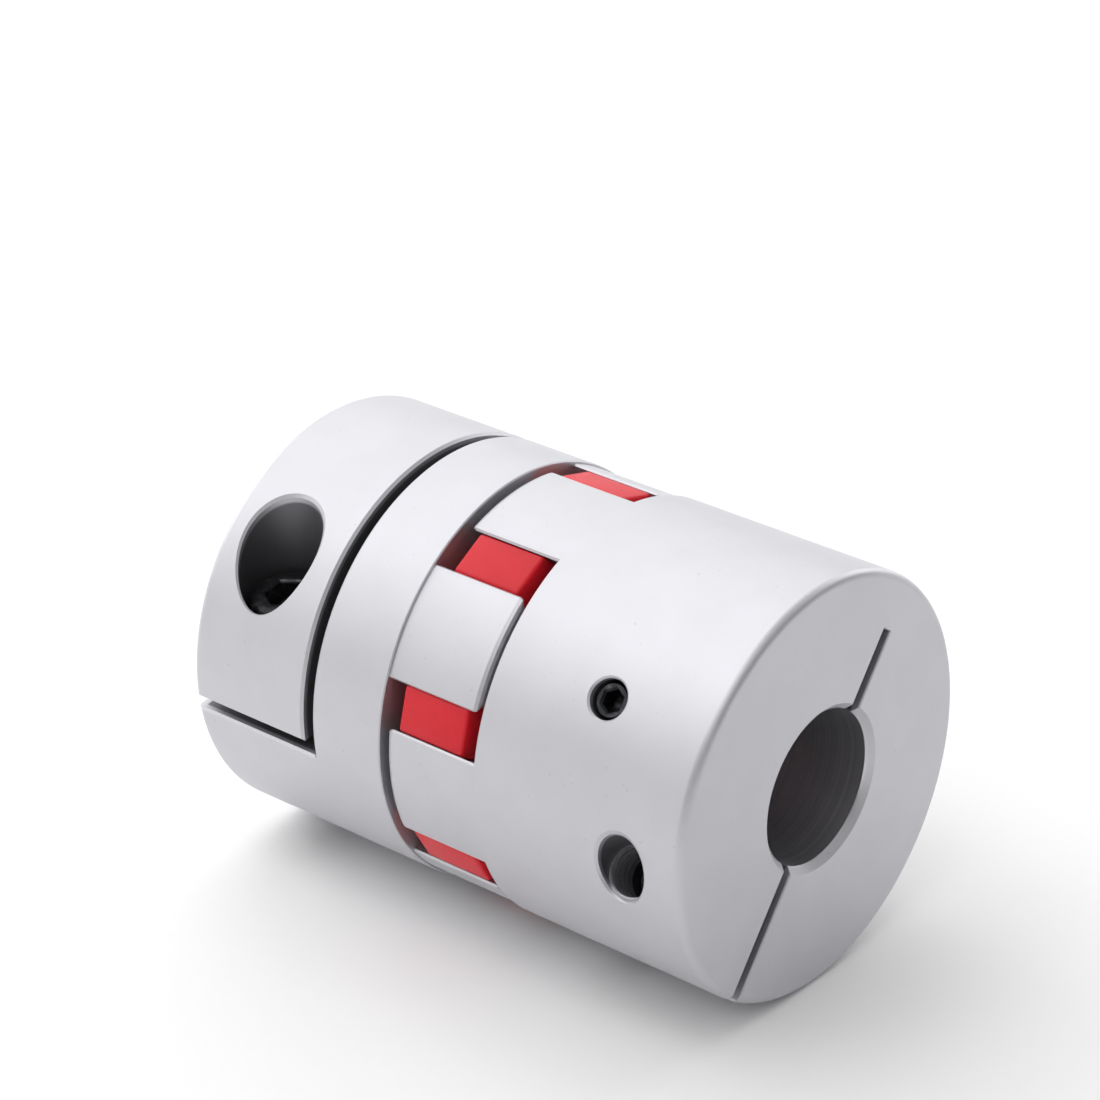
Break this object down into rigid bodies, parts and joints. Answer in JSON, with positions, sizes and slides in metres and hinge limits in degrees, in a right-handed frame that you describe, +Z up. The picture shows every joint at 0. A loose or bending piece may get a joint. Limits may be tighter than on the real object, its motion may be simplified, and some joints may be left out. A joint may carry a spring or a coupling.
{
  "type": "jaw coupling",
  "caption": "Backlash-free jaw coupling: two clamping hubs with screws interlock through an elastic spider to join two shafts in line.",
  "frame": {"origin": "on the shaft axis at mid-length, in the middle of the spider", "axes": "+X along the shaft axis from the motor hub to the driven hub, +Z up, +Y away from the viewer"},
  "size_m": [0.078, 0.055, 0.055],
  "materials": {
    "anodised_aluminium": "satin, clear anodised, fine turning marks",
    "red_polyurethane": "satin moulded polyurethane",
    "black_steel": "black oxide"
  },
  "bodies": {
    "motor_hub": {"motor_hub": "anodised_aluminium"},
    "spider": {"spider": "red_polyurethane"},
    "driven_hub": {"driven_hub": "anodised_aluminium"},
    "motor_clamp_screw": {"motor_clamp_screw": "black_steel"},
    "driven_clamp_screw": {"driven_clamp_screw": "black_steel"},
    "motor_set_screw": {"motor_set_screw": "black_steel"},
    "driven_set_screw": {"driven_set_screw": "black_steel"}
  },
  "joints": [
    {"name": "wind_up", "type": "hinge", "parent": "motor_hub", "child": "spider", "pos_m": [0, 0, 0], "axis": [1, 0, 0], "range_deg": [-3.3, 3.3], "stiffness_Nm_per_rad": 2060, "deforming": ["spider"]},
    {"name": "pull_off", "type": "slide", "parent": "spider", "child": "driven_hub", "axis": [1, 0, 0], "range_m": [-0.0004, 0.022]},
    {"name": "motor_clamp_screw_out", "type": "slide", "parent": "motor_hub", "child": "motor_clamp_screw", "axis": [0, -0.1444, 0.9895], "range_m": [0, 0.036]},
    {"name": "driven_clamp_screw_out", "type": "slide", "parent": "driven_hub", "child": "driven_clamp_screw", "axis": [0, 0.8018, -0.5976], "range_m": [0, 0.036]},
    {"name": "motor_set_screw_out", "type": "slide", "parent": "motor_hub", "child": "motor_set_screw", "axis": [0, 0.1444, -0.9895], "range_m": [0, 0.018]},
    {"name": "driven_set_screw_out", "type": "slide", "parent": "driven_hub", "child": "driven_set_screw", "axis": [0, -0.8018, 0.5976], "range_m": [0, 0.018]}
  ]
}
